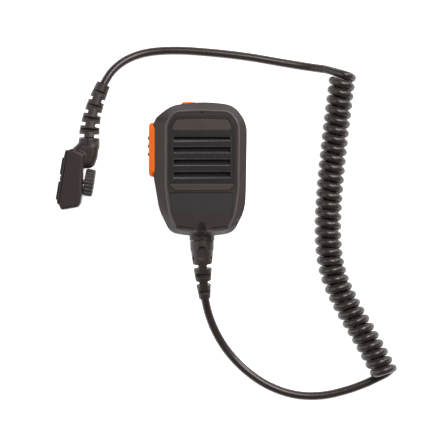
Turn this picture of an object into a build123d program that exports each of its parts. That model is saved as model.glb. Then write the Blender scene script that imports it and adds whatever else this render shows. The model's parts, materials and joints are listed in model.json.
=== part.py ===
from build123d import *
import os
from math import cos, pi, radians, sin, tan

os.makedirs("parts", exist_ok=True)

# ---------------------------------------------------------------- driving sizes, millimetres
# Frame: +Z out of the front face, +Y towards the microphone's top, +X to its right.
# The origin is on the clip's swivel axis, on the surface that the clip lies on.

# Case
case_width = 61.5  # over the shoulder that carries the talk key
case_length = 88.2
case_depth = 26.0
case_right = 29.6
case_top = 37.4
case_wall = 2.2
split_height = 12.0  # of the joint line above the back
front_bevel = 6.0  # height of the slope round the front face
back_round = 3.0  # of the back's edge
face_thickness = 3.0
face_step = 0.5  # depth of the front face inside its lip
lip_width = 1.1
crown_rise = 1.4  # of the arched top and bottom edges at the middle
shell_gap = 0.05

# Clip
jaw_thickness = 2.4
strap_gap = 4.9
base_thickness = 2.4
clip_half_width = 11.0
clip_reach = 26.0  # from the swivel axis to the mouth
pin_y = 16.0
pin_radius = 1.2
thumb_length = 10.0  # of the lever behind the pin
ear_thickness = 2.0
washer_thickness = 0.4

# Keys
talk_key_length = 35.6
talk_key_height = 16.6  # across the case's depth
talk_key_proud = 2.9
talk_key_y = 6.6  # its middle
talk_travel = 0.8
grip_pitch = 5.3
grip_thickness = 1.9
grip_proud = 0.8
alarm_key_radius = 5.0
alarm_key_x = -8.5
alarm_key_proud = 1.0
alarm_travel = 0.7
key_gap = 0.35
running_gap = 0.06

# Front
slot_length = 37.0
slot_height = 2.6
slot_pitch = 8.15
slot_count = 3
first_slot_y = 6.6
top_slot_height = 1.3
top_slot_y = 13.9
panel_half_width = 21.3
panel_top = 27.9
panel_bottom = -20.2
panel_thickness = 1.9
panel_proud = 0.3
bar_depth = 0.3  # of the bars below the panel's rim
fit_gap = 0.1
port_radius = 0.65
port_y = 30.4
badge_thickness = 0.7

# Inside
speaker_radius = 18.0
speaker_y = 1.5
magnet_radius = 8.5
magnet_height = 3.4
board_thickness = 1.6
board_rise = 4.8  # of the board above the floor
screw_radius = 1.2
screw_head_radius = 2.3
screw_head_height = 1.6
boss_radius = 3.1
jack_radius = 1.75
jack_y = 7.5
jack_length = 13.0
jack_nose_radius = 2.9

# Cord
cord_diameter = 5.2
curl_diameter = 16.8  # outside of the curly cord
surface = cord_diameter / 2  # a cord's middle when it lies down

# Boots
neck_radius = 8.2
boot_collar_radius = 7.8
boot_end_radius = 3.8
boot_shank_radius = 5.1

# Plug, in its own frame: x away from the radio, y towards its cord, z across it
plug_width = 21.0
plug_place = Location((-92.95, -10.85, plug_width / 2), (0, 0, -9.13))
plate_thickness = 1.3
knob_radius = 9.1
knob_thickness = 6.5
knob_x = 15.6
knob_y = -1.1
thumb_radius = 1.5
collar_x = -74.6  # the plug's round end, in the main frame
collar_y = 14.5
collar_radius = 7.0

# ---------------------------------------------------------------- worked out from those
jaw_top = jaw_thickness
base_bottom = jaw_top + strap_gap
base_top = base_bottom + base_thickness
case_back = base_top + fit_gap + washer_thickness
case_front = case_back + case_depth
split_z = case_back + split_height
slope_z = case_front - front_bevel
floor_z = case_back + case_wall
ceiling_z = case_front - face_thickness
case_left = case_right - case_width
case_bottom = case_top - case_length
board_z = floor_z + board_rise
board_top = board_z + board_thickness
neck_end = case_bottom - 2.2
face_z = case_front - face_step
pin_z = (jaw_top + base_bottom) / 2 + 0.1

# Front face
panel_seat = case_front + panel_proud - panel_thickness
panel_low_slot = first_slot_y - slot_pitch * (slot_count - 1) - slot_height / 2 - 0.8
panel_high_slot = top_slot_y + top_slot_height / 2 + 0.8

# Speaker, from its cloth down to its magnet
cloth_thickness = 0.4
cloth_z = ceiling_z - cloth_thickness
gasket_z = cloth_z - 1.0
basket_z = gasket_z - 1.0
magnet_top = basket_z - 5.2

# Clip
ear_round = 2.1
base_ear_outer = clip_half_width - 0.6
base_ear_inner = base_ear_outer - ear_thickness
jaw_ear_outer = base_ear_inner - 0.25
jaw_ear_inner = jaw_ear_outer - ear_thickness
insert_radius = 3.2
insert_length = 5.6
clip_screw_radius = 1.5

# Board's screws
board_screw_places = [(-10.0, case_bottom + 14.0), (10.0, case_bottom + 14.0), (-2.5, 23.0)]
board_screw_radius = 0.9

# Places that the case and its keys share
screw_places = [(-20.5, 25.0), (20.5, 25.0), (-18.5, case_bottom + 13.0), (18.5, case_bottom + 13.0)]
talk_floor = case_left + 2.6
talk_wall = talk_floor + 1.8
talk_back = case_left + 1.6
talk_half = talk_key_length / 2
talk_stem_tip = talk_wall + 1.8
jack_wall = case_right - 4.9
jack_floor = case_right - 2.3
cover_length = 13.0
cover_width = 10.0
cover_thickness = 1.4
cover_low = jack_y - 6.0
cover_hinge_x = jack_floor + 0.2 + cover_thickness / 2
alarm_flange = case_top - 4.0
boot_flange = case_bottom + 3.6

# Plug's seals and contacts, in its own frame
seal_half = 7.4
seal_spans = [(1.2, 12.6), (-15.6, -3.4)]
contact_places = [(y, z) for y in (3.6, 6.9, 10.2, -6.2, -9.5, -12.8) for z in (-3.6, 0, 3.6)]


def write(shape, node):
    export_step(shape, "parts/" + node + ".step")


def group(solids):
    return Compound(children=list(solids))


def box(x0, x1, y0, y1, z0, z1):
    size = (x1 - x0, y1 - y0, z1 - z0)
    middle = ((x0 + x1) / 2, (y0 + y1) / 2, (z0 + z1) / 2)
    return Pos(*middle) * Box(*size)


def rod_x(radius, x0, x1, y, z):
    return Pos((x0 + x1) / 2, y, z) * Rot(0, 90, 0) * Cylinder(radius, x1 - x0)


def rod_y(radius, y0, y1, x, z):
    return Pos(x, (y0 + y1) / 2, z) * Rot(90, 0, 0) * Cylinder(radius, y1 - y0)


def rod_z(radius, z0, z1, x, y):
    return Pos(x, y, (z0 + z1) / 2) * Cylinder(radius, z1 - z0)


def ring_z(outer, inner, z0, z1, x, y):
    return rod_z(outer, z0, z1, x, y) - rod_z(inner, z0 - 1, z1 + 1, x, y)


def rounded_face(corners, z):
    """A face at height z. Each corner is x, y and the radius of its rounding."""
    points = [(x, y, z) for x, y, _ in corners]
    radii = [r for _, _, r in corners]
    return make_face(FilletPolyline(*points, radius=radii, close=True))


def slab(corners, z0, z1):
    return extrude(rounded_face(corners, z0), z1 - z0)


def inset_slab(corners, inset, z0, z1):
    face = offset(rounded_face(corners, z0), -inset, kind=Kind.INTERSECTION)
    return extrude(face, z1 - z0)


# ---------------------------------------------------------------- outlines of the case
# Both outlines have the same twelve corners in the same order, so that they can be lofted.
def case_corners():
    top = case_top + crown_rise
    bottom = case_bottom - 0.7
    return [
        (0, top, 90),
        (case_right - 8.0, top - 3.3, 14),
        (case_right, top - 15.3, 20),
        (case_right - 0.7, case_bottom + 31, 60),
        (case_right - 1.3, case_bottom + 17.8, 30),
        (20.6, case_bottom + 2.9, 9),
        (0, bottom, 90),
        (-20.8, case_bottom + 2.9, 9),
        (case_left + 3.9, case_bottom + 17.8, 30),
        (case_left + 0.1, case_bottom + 40, 14),
        (case_left, case_top - 11.1, 10),
        (-20.5, top - 3.5, 20),
    ]


def face_corners():
    top = case_top - 5.6
    return [
        (0, top + 0.9, 160),
        (18.8, top - 0.2, 8),
        (case_right - 5.2, top - 8.7, 12),
        (case_right - 5.4, case_bottom + 31, 40),
        (case_right - 8.0, case_bottom + 13.8, 20),
        (16.9, case_bottom + 5.0, 5),
        (0, case_bottom + 2.6, 80),
        (-16.8, case_bottom + 5.0, 5),
        (case_left + 10.6, case_bottom + 13.8, 20),
        (case_left + 8.0, case_bottom + 33, 40),
        (case_left + 8.1, top - 8.7, 12),
        (-18.8, top - 0.2, 9),
    ]


def panel_corners(grow):
    x = panel_half_width + grow
    return [
        (-x, panel_top - 6 + grow, 3),
        (-17.6 - grow, panel_top + grow, 2),
        (17.6 + grow, panel_top + grow, 2),
        (x, panel_top - 6 + grow, 3),
        (x, panel_bottom + 3.6 - grow, 2.5),
        (x - 3.8, panel_bottom - grow, 2.5),
        (-x + 3.8, panel_bottom - grow, 2.5),
        (-x, panel_bottom + 3.6 - grow, 2.5),
    ]


# ---------------------------------------------------------------- cuts that both shells share
def key_cuts():
    """Pockets for the talk key, the emergency key and the jack cover, with their holes."""
    y0 = talk_key_y - talk_half - key_gap
    y1 = talk_key_y + talk_half + key_gap
    half = talk_key_height / 2 + key_gap
    pocket = box(case_left - 5, talk_floor, y0, y1, split_z - half, split_z + half)
    pocket = fillet(pocket.edges().filter_by(Axis.X), 5.0)
    cuts = pocket + rod_x(3.0, talk_floor - 1, talk_wall + 5, talk_key_y, split_z)
    cuts += rod_y(alarm_key_radius + key_gap, alarm_flange, case_top + 5, alarm_key_x, split_z)
    half = cover_width / 2 + key_gap
    cover = box(
        jack_floor,
        case_right + 5,
        cover_low - 0.7 - key_gap,
        cover_low + cover_length + key_gap,
        split_z - half,
        split_z + half,
    )
    cuts += cover + rod_x(jack_nose_radius, jack_wall - 2, jack_floor + 1, jack_y, split_z)
    cuts += rod_y(boot_shank_radius + 0.1, neck_end - 1, case_bottom + 5, 0, split_z)
    return cuts


def thick_walls(z0, z1):
    """Solid parts of the wall behind the talk key and the jack."""
    talk = box(case_left + 1.2, talk_wall, talk_key_y - talk_half - 4, talk_key_y + talk_half + 1, z0, z1)
    jack = box(jack_wall, case_right - 1.2, cover_low - 3, cover_low + cover_length + 3, z0, z1)
    return talk + jack


# ---------------------------------------------------------------- shells
def front_outside():
    """The front shell's outside as a solid block: upright walls, then the slope up to the front face."""
    walls = extrude(rounded_face(case_corners(), split_z), slope_z - split_z)
    return walls + loft([rounded_face(case_corners(), slope_z), rounded_face(face_corners(), case_front)], ruled=True)


def front_housing():
    outside = front_outside()
    body = outside + neck(split_z, split_z + neck_radius)
    body -= inset_slab(case_corners(), case_wall, split_z - 1, slope_z - 1.5)
    body -= inset_slab(face_corners(), 0.4, slope_z - 2, ceiling_z)
    body += thick_walls(split_z, slope_z) & outside
    body += box(-4.8, 4.8, neck_end, case_bottom + 12.5, slope_z - 1, ceiling_z + 0.5) & outside
    body -= inset_slab(face_corners(), lip_width, face_z, case_front + 1)
    body -= cord_channel()
    body -= lip_grooves()
    for x, y in screw_places:
        body += rod_z(boss_radius, split_z + shell_gap, ceiling_z + 0.5, x, y)
        body -= rod_z(screw_radius + 0.02, split_z - 1, ceiling_z - 2, x, y)
    body += rod_z(5.3, slope_z - 1.2, ceiling_z + 0.5, 0, port_y) & outside
    body -= rod_z(4.25, slope_z - 2, ceiling_z - 1.5, 0, port_y)
    body -= rod_z(port_radius, slope_z, case_front + 1, 0, port_y)
    body -= slab(panel_corners(fit_gap), panel_seat, case_front + 1)
    body -= box(-slot_length / 2 - 0.8, slot_length / 2 + 0.8, panel_low_slot, panel_high_slot,
                ceiling_z - 1, case_front)
    body -= texture_recess()
    body -= key_cuts()
    body -= rod_y(alarm_key_radius + 1.6, alarm_flange - 8, alarm_flange + 0.4, alarm_key_x, split_z)
    return body


def neck(z0, z1):
    """Half of the round collar that holds the boot, between the heights z0 and z1."""
    whole = rod_y(neck_radius, neck_end, case_bottom + 1.2, 0, split_z)
    return whole & box(-20, 20, neck_end - 1, case_bottom + 5, z0, z1)


def cord_channel():
    """Round-ended channel over the cord's way in, from the front face down to the collar."""
    radius = 2.9
    start = Vector(0, case_bottom + 7.6, face_z + radius - 1.0)
    end = Vector(0, neck_end - 1.0, split_z + neck_radius + radius - 0.8)
    run = end - start
    bar = Plane(origin=start, z_dir=run) * Pos(0, 0, run.length / 2) * Cylinder(radius, run.length)
    return bar + Pos(start.X, start.Y, start.Z) * Sphere(radius)


def lip_grooves():
    """Two shallow grooves inside the lip, one each side of the channel."""
    grooves = [
        Pos(side * 11.4, case_bottom + 6.0, face_z) * Rot(0, 0, side * 8.0) * Box(11.0, 1.4, 1.2)
        for side in (-1, 1)
    ]
    return grooves[0] + grooves[1]


def texture_recess():
    """Shallow rough field under the grille."""
    low = case_bottom + 15.4
    field = [
        (-20.6, panel_bottom - 1.6, 0.8),
        (20.6, panel_bottom - 1.6, 0.8),
        (19.4, low, 0.8),
        (-19.4, low, 0.8),
    ]
    return slab(field, face_z - 0.3, case_front)


def rear_housing():
    body = extrude(rounded_face(case_corners(), case_back), split_height - shell_gap)
    body = fillet(body.faces().sort_by(Axis.Z)[0].edges(), back_round)
    body += neck(split_z - neck_radius, split_z - shell_gap)
    body -= inset_slab(case_corners(), case_wall, floor_z, split_z + 1)
    outer = inset_slab(case_corners(), 1.0, floor_z - 1, split_z - shell_gap)
    body += thick_walls(floor_z - 1, split_z - shell_gap) & outer
    for x, y in screw_places:
        body += rod_z(boss_radius, floor_z - 1, split_z - shell_gap, x, y)
        body -= rod_z(screw_radius + 0.2, case_back - 1, split_z + 1, x, y)
        body -= rod_z(screw_head_radius + 0.2, case_back - 1, case_back + screw_head_height + 0.6, x, y)
    for x, y in board_screw_places:
        body += rod_z(2.4, floor_z - 1, board_z, x, y)
        body -= rod_z(board_screw_radius + 0.02, floor_z + 0.4, board_z + 1, x, y)
    body += rod_z(insert_radius + 1.8, floor_z - 1, board_z - 0.6, 0, 0)
    body -= rod_z(insert_radius, case_back - 1, case_back + insert_length, 0, 0)
    body -= seal_groove()
    body -= key_cuts()
    body -= rod_y(alarm_key_radius + 1.6, alarm_flange - 8, alarm_flange + 0.4, alarm_key_x, split_z)
    return body


def seal_groove():
    """Groove for the seal in the rear shell's edge, open where keys and the neck cross it."""
    outer = inset_slab(case_corners(), 0.7, split_z - 0.75, split_z + 1)
    inner = inset_slab(case_corners(), 1.5, split_z - 0.75, split_z + 1)
    return outer - inner


def case_seal():
    outer = inset_slab(case_corners(), 0.75, split_z - 0.7, split_z - shell_gap)
    inner = inset_slab(case_corners(), 1.45, split_z - 1, split_z + 1)
    ring = outer - inner
    half = talk_half + key_gap + 0.5
    ring -= box(case_left - 5, talk_wall, talk_key_y - half, talk_key_y + half, 0, case_front)
    ring -= box(jack_wall, case_right + 5, cover_low - 2, cover_low + cover_length + 1, 0, case_front)
    ring -= box(alarm_key_x - 6, alarm_key_x + 6, alarm_flange, case_top + 5, 0, case_front)
    ring -= box(-6, 6, neck_end, case_bottom + 3, 0, case_front)
    return ring


# ---------------------------------------------------------------- front face
def grille_panel():
    low = panel_seat
    top = case_front + panel_proud
    body = slab(panel_corners(0), low, top)
    body -= box(-slot_length / 2 - 0.9, slot_length / 2 + 0.9, panel_low_slot - 4.4, top_slot_y + 2.0,
                top - bar_depth, top + 1)
    body -= louvre_slot(top_slot_y, top_slot_height, low, top)
    for index in range(slot_count):
        body -= louvre_slot(first_slot_y - index * slot_pitch, slot_height, low, top)
    body -= slab(badge_corners(fit_gap), top - badge_thickness, top + 1)
    return body


def louvre_slot(y, height, low, top):
    """Slot through the panel, with a sloped lower lip like a louvre."""
    half = slot_length / 2
    slot = box(-half, half, y - height / 2, y + height / 2, low - 1, top + 1)
    lip = Pos(0, y - height / 2, top - bar_depth) * Rot(45, 0, 0) * Box(slot_length, 1.3, 1.3)
    brow = Pos(0, y + height / 2, top - bar_depth) * Rot(45, 0, 0) * Box(slot_length, 0.7, 0.7)
    return slot + lip + brow


def badge_corners(grow):
    return [
        (-19.0 - grow, 19.2 - grow, 0.5),
        (19.0 + grow, 19.2 - grow, 0.5),
        (19.0 + grow, 22.0 + grow, 1.0),
        (16.6 + grow, 26.0 + grow, 1.0),
        (0, 26.7 + grow, 60),
        (-16.6 - grow, 26.0 + grow, 1.0),
        (-19.0 - grow, 22.0 + grow, 1.0),
    ]


def badge_plate():
    top = case_front + panel_proud
    body = slab(badge_corners(0), top - badge_thickness, top - 0.1)
    return chamfer(body.faces().sort_by(Axis.Z)[-1].edges(), 0.2)


# ---------------------------------------------------------------- speaker and microphone
def speaker_cloth():
    half = slot_length / 2 + 1.3
    return box(-half, half, panel_low_slot - 0.6, panel_high_slot + 0.6, cloth_z, ceiling_z)


def speaker_gasket():
    return ring_z(speaker_radius + 0.4, speaker_radius - 1.4, gasket_z, cloth_z, 0, speaker_y)


def speaker_frame():
    profile = Polyline(
        (magnet_radius - 3, magnet_top),
        (magnet_radius + 0.5, magnet_top),
        (speaker_radius - 2, basket_z),
        (speaker_radius, basket_z),
        (speaker_radius, gasket_z),
        (speaker_radius - 2.6, gasket_z),
        (magnet_radius, magnet_top + 0.8),
        (magnet_radius - 3, magnet_top + 0.8),
        close=True,
    )
    return spun(profile)


def speaker_cone():
    profile = Polyline(
        (speaker_radius - 3.2, gasket_z - 0.2),
        (5.0, magnet_top + 1.6),
        (0.0, magnet_top + 2.4),
        (0.0, magnet_top + 2.9),
        (5.3, magnet_top + 2.1),
        (speaker_radius - 3.2, gasket_z + 0.3),
        close=True,
    )
    return spun(profile)


def spun(profile):
    """Solid of revolution about the speaker's axis. The profile is radius and height."""
    face = make_face(Plane.XZ * profile)
    return Pos(0, speaker_y, 0) * revolve(face, Axis.Z)


def speaker_magnet():
    body = rod_z(magnet_radius, magnet_top - magnet_height, magnet_top, 0, speaker_y)
    return body - rod_z(2.0, magnet_top - 1.5, magnet_top + 1, 0, speaker_y)


def capsule_boot():
    low, high = slope_z - 1.2, ceiling_z - 1.5
    return ring_z(4.2, 3.02, low, high, 0, port_y) - rod_z(1, low, high, 0, port_y)


def microphone_capsule():
    return rod_z(3.0, slope_z - 1.0, ceiling_z - 1.7, 0, port_y)


# ---------------------------------------------------------------- board and what is on it
def board_corners():
    return [
        (talk_stem_tip + 0.1, 19.0, 1),
        (talk_stem_tip + 0.1, case_bottom + 30, 1),
        (-22.0, case_bottom + 11, 1),
        (22.0, case_bottom + 11, 1),
        (jack_wall - 1.0, case_bottom + 30, 1),
        (jack_wall - 1.0, 19.0, 1),
        (16.0, alarm_flange - 3.5, 1),
        (-16.0, alarm_flange - 3.5, 1),
    ]


def circuit_board():
    board = slab(board_corners(), board_z, board_top)
    for x, y in screw_places:
        board -= rod_z(boss_radius + 0.4, board_z - 1, board_top + 1, x, y)
    for x, y in board_screw_places:
        board -= rod_z(board_screw_radius + 0.1, board_z - 1, board_top + 1, x, y)
    return board


def board_screws():
    return group(board_screw(x, y) for x, y in board_screw_places)


def board_screw(x, y):
    body = rod_z(board_screw_radius, board_z - 3.4, board_top, x, y)
    return body + rod_z(1.7, board_top, board_top + 1.1, x, y)


def board_chips():
    big = box(-16, -9, -22, -15, board_top, board_top + 1.2)
    amplifier = box(8, 14, -20, -15, board_top, board_top + 1.4)
    regulator = box(-15, -11, 13, 17, board_top, board_top + 1.6)
    filter_can = box(7, 12, 15, 19, board_top, board_top + 1.8)
    return group([big, amplifier, regulator, filter_can])


def talk_switch():
    tip = talk_stem_tip + talk_travel + 0.15
    body = box(tip, tip + 4.0, talk_key_y - 2.6, talk_key_y + 2.6, board_top, split_z + 2.4)
    return chamfer(body.edges().filter_by(Axis.Z), 0.4)


def alarm_switch():
    tip = alarm_flange - 3.0 - alarm_travel
    body = box(alarm_key_x - 2.6, alarm_key_x + 2.6, tip - 4.0, tip - 0.15, board_top, split_z + 2.4)
    return chamfer(body.edges().filter_by(Axis.Z), 0.4)


def jack_socket():
    body = box(jack_wall - 10.5, jack_wall, jack_y - 3.6, jack_y + 3.6, board_top, split_z + 3.0)
    body += rod_x(jack_nose_radius - 0.02, jack_wall - 0.5, jack_floor - 0.1, jack_y, split_z)
    start = jack_floor - 0.1 - jack_length
    return body - rod_x(jack_radius, start, jack_floor + 1, jack_y, split_z)


def wire_connector():
    y = case_bottom + 19.0
    body = box(-4.2, 4.2, y - 2.2, y + 2.2, board_top, board_top + 4.6)
    return body - box(-3.4, 3.4, y - 3, y - 1.0, board_top + 1.0, board_top + 5)


# ---------------------------------------------------------------- keys
def talk_key():
    """Orange key with a bowed outside, in its pocket on the left side."""
    y0, y1 = talk_key_y - talk_half, talk_key_y + talk_half
    z0, z1 = split_z - talk_key_height / 2, split_z + talk_key_height / 2
    body = box(case_left - talk_key_proud, talk_back, y0, y1, z0, z1)
    body = fillet(body.edges().filter_by(Axis.X), 4.6)
    body = fillet(body.faces().sort_by(Axis.X)[0].edges(), 2.2)
    for index in (-1, 0, 1):
        body -= grip_bar(index, 0.0, case_left - talk_key_proud + 1.2)
    return body


def grip_bar(index, gap, inner_x):
    """One of the three bars across the key, as high as its pocket in the key."""
    y = talk_key_y + 2.3 + index * grip_pitch
    half = grip_thickness / 2 - gap
    outer_x = case_left - talk_key_proud - grip_proud
    height = talk_key_height / 2 - 3.4 - gap
    body = box(outer_x, inner_x, y - half, y + half, split_z - height, split_z + height)
    return fillet(body.edges().filter_by(Axis.X), 0.8 - gap)


def talk_key_grips():
    inner = case_left - talk_key_proud + 1.2
    bars = []
    for index in (-1, 0, 1):
        bar = grip_bar(index, 0.01, inner - 0.01)
        bars.append(fillet(bar.faces().sort_by(Axis.X)[0].edges(), 0.35))
    return group(bars)


def talk_actuator():
    """Stiff plate behind the key's skin, with the stem that works the switch."""
    thickness = 0.9
    plate = box(talk_back, talk_back + 0.15, talk_key_y - 12, talk_key_y + 12, split_z - 5, split_z + 5)
    stem = rod_x(2.0, talk_back, talk_stem_tip, talk_key_y, split_z)
    return plate + stem + rod_x(2.6, talk_stem_tip - thickness, talk_stem_tip, talk_key_y, split_z)


def talk_seal():
    ring = rod_x(2.98, talk_floor, talk_wall, talk_key_y, split_z)
    return ring - rod_x(2.0 + running_gap, talk_floor - 1, talk_wall + 1, talk_key_y, split_z)


def alarm_key():
    """Round orange key in the top edge, held in by its flange."""
    top = case_top + alarm_key_proud - 0.4
    body = rod_y(alarm_key_radius, alarm_flange - 1.0, top, alarm_key_x, split_z)
    body = fillet(body.faces().sort_by(Axis.Y)[-1].edges(), 1.2)
    body += rod_y(alarm_key_radius + 1.2, alarm_flange - 1.0, alarm_flange, alarm_key_x, split_z)
    return body + rod_y(1.6, alarm_flange - 3.0, alarm_flange - 1.0, alarm_key_x, split_z)


def alarm_spring():
    """Ring of foam rubber that pushes the key back out."""
    low = alarm_flange - 2.9
    return rod_y(4.4, low, alarm_flange - 1.0, alarm_key_x, split_z) - rod_y(
        2.6, low - 1, alarm_flange, alarm_key_x, split_z
    )


def jack_cover():
    """Rubber flap over the jack, hinged at its lower end."""
    outer = jack_floor + 0.2 + cover_thickness
    inner = jack_floor + 0.2
    half = cover_width / 2
    body = box(inner, outer, cover_low, cover_low + cover_length, split_z - half, split_z + half)
    body = fillet(body.edges().filter_by(Axis.X).sort_by(Axis.Y)[-2:], 3.0)
    body += rod_z(cover_thickness / 2, split_z - half, split_z + half, cover_hinge_x, cover_low)
    body += box(outer - 0.2, outer + 0.4, cover_low + 9.6, cover_low + 10.6, split_z - 2.5, split_z + 2.5)
    return body


# ---------------------------------------------------------------- fasteners
def case_screws():
    return group(case_screw(x, y) for x, y in screw_places)


def case_screw(x, y):
    head_low = case_back + 0.5
    head = rod_z(screw_head_radius, head_low, head_low + screw_head_height, x, y)
    head -= box(x - 1.6, x + 1.6, y - 0.35, y + 0.35, head_low - 1, head_low + 0.8)
    head -= box(x - 0.35, x + 0.35, y - 1.6, y + 1.6, head_low - 1, head_low + 0.8)
    return head + rod_z(screw_radius, head_low + 1, ceiling_z - 4, x, y)


def clip_insert():
    body = rod_z(insert_radius - 0.02, case_back + 0.1, case_back + insert_length, 0, 0)
    return body - rod_z(clip_screw_radius + 0.02, case_back - 1, case_back + insert_length - 0.6, 0, 0)


def clip_screw():
    body = rod_z(clip_screw_radius, base_bottom + 0.1, case_back + insert_length - 1.0, 0, 0)
    body += rod_z(3.0, base_bottom + 0.1, base_bottom + 1.3, 0, 0)
    slot = Rot(0, 0, 30) * Box(4.2, 0.8, 1.2)
    return body - Pos(0, 0, base_bottom + 0.1) * slot


def swivel_washer():
    return ring_z(8.0, clip_screw_radius + 0.1, case_back - washer_thickness, case_back, 0, 0)


# ---------------------------------------------------------------- belt clip
def clip_plate(half_width, y0, y1, z0, z1):
    body = box(-half_width, half_width, y0, y1, z0, z1)
    return fillet(body.edges().filter_by(Axis.Z), 4.0)


def clip_ears(inner_x, outer_x, z0, z1, eye_z):
    """Two ears with round ends about the pin, between a plate and the pin."""
    ears = []
    for side in (-1, 1):
        near, far = sorted((side * inner_x, side * outer_x))
        ear = box(near, far, pin_y - ear_round, pin_y + ear_round, z0, z1)
        ears.append(ear + rod_x(ear_round, near, far, pin_y, eye_z))
    return ears[0] + ears[1]


def clip_base():
    body = clip_plate(clip_half_width - 0.4, -clip_reach, pin_y + 2.2, base_bottom, base_top)
    body += clip_ears(base_ear_inner, base_ear_outer, pin_z, base_bottom + 0.5, pin_z)
    body -= rod_z(clip_screw_radius + 0.1, base_bottom - 1, base_top + 1, 0, 0)
    body -= rod_z(3.1, base_bottom - 1, base_bottom + 1.4, 0, 0)
    return body - rod_x(pin_radius + 0.01, -20, 20, pin_y, pin_z)


def clip_jaw():
    body = clip_plate(clip_half_width, -clip_reach, pin_y + thumb_length, 0, jaw_top)
    body += clip_ears(jaw_ear_inner, jaw_ear_outer, jaw_top - 0.5, pin_z, pin_z)
    lip = box(-clip_half_width + 3, clip_half_width - 3, -clip_reach + 0.4, -clip_reach + 2.6,
              jaw_top - 0.5, base_bottom - 0.15)
    body += lip
    return body - rod_x(pin_radius + running_gap, -20, 20, pin_y, pin_z)


def clip_pin():
    return rod_x(pin_radius, -base_ear_outer - 0.2, base_ear_outer + 0.2, pin_y, pin_z)


def clip_spring():
    """Coils round the pin, with one leg under the base and one leg on the lever."""
    half = jaw_ear_inner - 0.6
    wire = 0.45
    coil = rod_x(pin_radius + 1.0, -half, half, pin_y, pin_z)
    coil -= rod_x(pin_radius + 0.1, -half - 1, half + 1, pin_y, pin_z)
    top = box(half - 2 * wire, half, pin_y - 8.5, pin_y, base_bottom - 0.9, base_bottom)
    low = box(-half, -half + 2 * wire, pin_y, pin_y + 7.5, jaw_top, jaw_top + 0.9)
    return coil + top + low


# ---------------------------------------------------------------- cord boots
def bend_point(a, b, c, t):
    """Point and direction at t on the bend from a to c that leaves a towards b."""
    a, b, c = Vector(*a), Vector(*b), Vector(*c)
    point = a * (1 - t) ** 2 + b * 2 * t * (1 - t) + c * t**2
    return point, (b - a) * (1 - t) + (c - b) * t


def bend_plane(bend, t, up=(0, 0, 1)):
    """Plane across the bend at t, with its y axis near up."""
    point, along = bend_point(*bend, t)
    side = Vector(*up).cross(along)
    return Plane(origin=point, x_dir=side, z_dir=along)


def boot_body(bend, start_radius, end_radius, start=0.0, end=1.0):
    """Tapered round bar along the bend, from the share start of it to the share end."""
    sections = []
    for step in range(6):
        share = step / 5
        radius = start_radius + (end_radius - start_radius) * share
        sections.append(bend_plane(bend, start + (end - start) * share) * Circle(radius))
    return loft(sections)


def side_notches(bend, t, web, width, reach):
    """A notch from each side that leaves an upright web between them."""
    cut = Box(reach, 30, width)
    place = bend_plane(bend, t)
    offset_x = web + reach / 2
    return [place * Pos(side * offset_x, 0, 0) * cut for side in (-1, 1)]


def face_notches(bend, t, web, width, reach):
    """A notch from the front and from the back that leaves a flat web."""
    cut = Box(30, reach, width)
    place = bend_plane(bend, t)
    offset_y = web + reach / 2
    return [place * Pos(0, side * offset_y, 0) * cut for side in (-1, 1)]


mic_boot_bend = (
    (0, neck_end - 0.1, split_z),
    (0.2, neck_end - 20.0, split_z),
    (1.9, neck_end - 38.0, split_z - 6.6),
)
plug_boot_bend = (
    (collar_x, collar_y + 0.2, plug_width / 2),
    (collar_x + 0.4, collar_y + 16.5, plug_width / 2),
    (-65.0, 50.4, plug_width / 2),
)


def mic_boot():
    body = boot_body(mic_boot_bend, boot_collar_radius, boot_collar_radius - 0.15, 0.0, 0.16)
    body += boot_body(mic_boot_bend, boot_collar_radius - 0.45, boot_end_radius, 0.155, 1.0)
    for t in (0.43, 0.72):
        for cut in side_notches(mic_boot_bend, t, 2.8, 3.0, 10):
            body -= cut
    for t in (0.575, 0.865):
        for cut in face_notches(mic_boot_bend, t, 2.9, 2.8, 10):
            body -= cut
    plane = bend_plane(mic_boot_bend, 0.2)
    window = Box(4.6, 4, 8.4)
    body -= plane * Pos(0, 7.7, 0) * fillet(window.edges().filter_by(Axis.Y), 1.6)
    for side in (-1, 1):
        body -= bend_plane(mic_boot_bend, 0.29) * Pos(side * 6.0, 4.6, 0) * Box(1.7, 5.0, 2.4)
    body += rod_y(boot_shank_radius, neck_end - 0.6, boot_flange + 1.6, 0, split_z)
    body += rod_y(boot_shank_radius + 2.0, boot_flange, boot_flange + 1.6, 0, split_z)
    return body


def plug_boot():
    body = boot_body(plug_boot_bend, collar_radius, boot_end_radius + 0.9)
    for t in (0.04, 0.26, 0.485, 0.725):
        for cut in side_notches(plug_boot_bend, t, 3.2, 2.2, 10):
            body -= cut
    for t in (0.15, 0.37, 0.6, 0.845):
        for cut in face_notches(plug_boot_bend, t, 3.0, 2.2, 10):
            body -= cut
    return body


def cord_tail():
    return rod_y(cord_diameter / 2, boot_flange + 1.6, case_bottom + 12.5, 0, split_z)


def cord_clamp():
    y = case_bottom + 9.5
    body = box(-5.5, 5.5, y - 2.0, y + 2.0, board_top + 0.1, split_z + 4.2)
    return body - rod_y(cord_diameter / 2, y - 3, y + 3, 0, split_z)


def cord_wires():
    """Thin wires from the tail into the connector."""
    y0 = case_bottom + 12.5
    wires = [rod_y(0.5, y0, case_bottom + 17.9, x, board_top + 3.0) for x in (-1.8, -0.6, 0.6, 1.8)]
    return group(wires)


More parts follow.
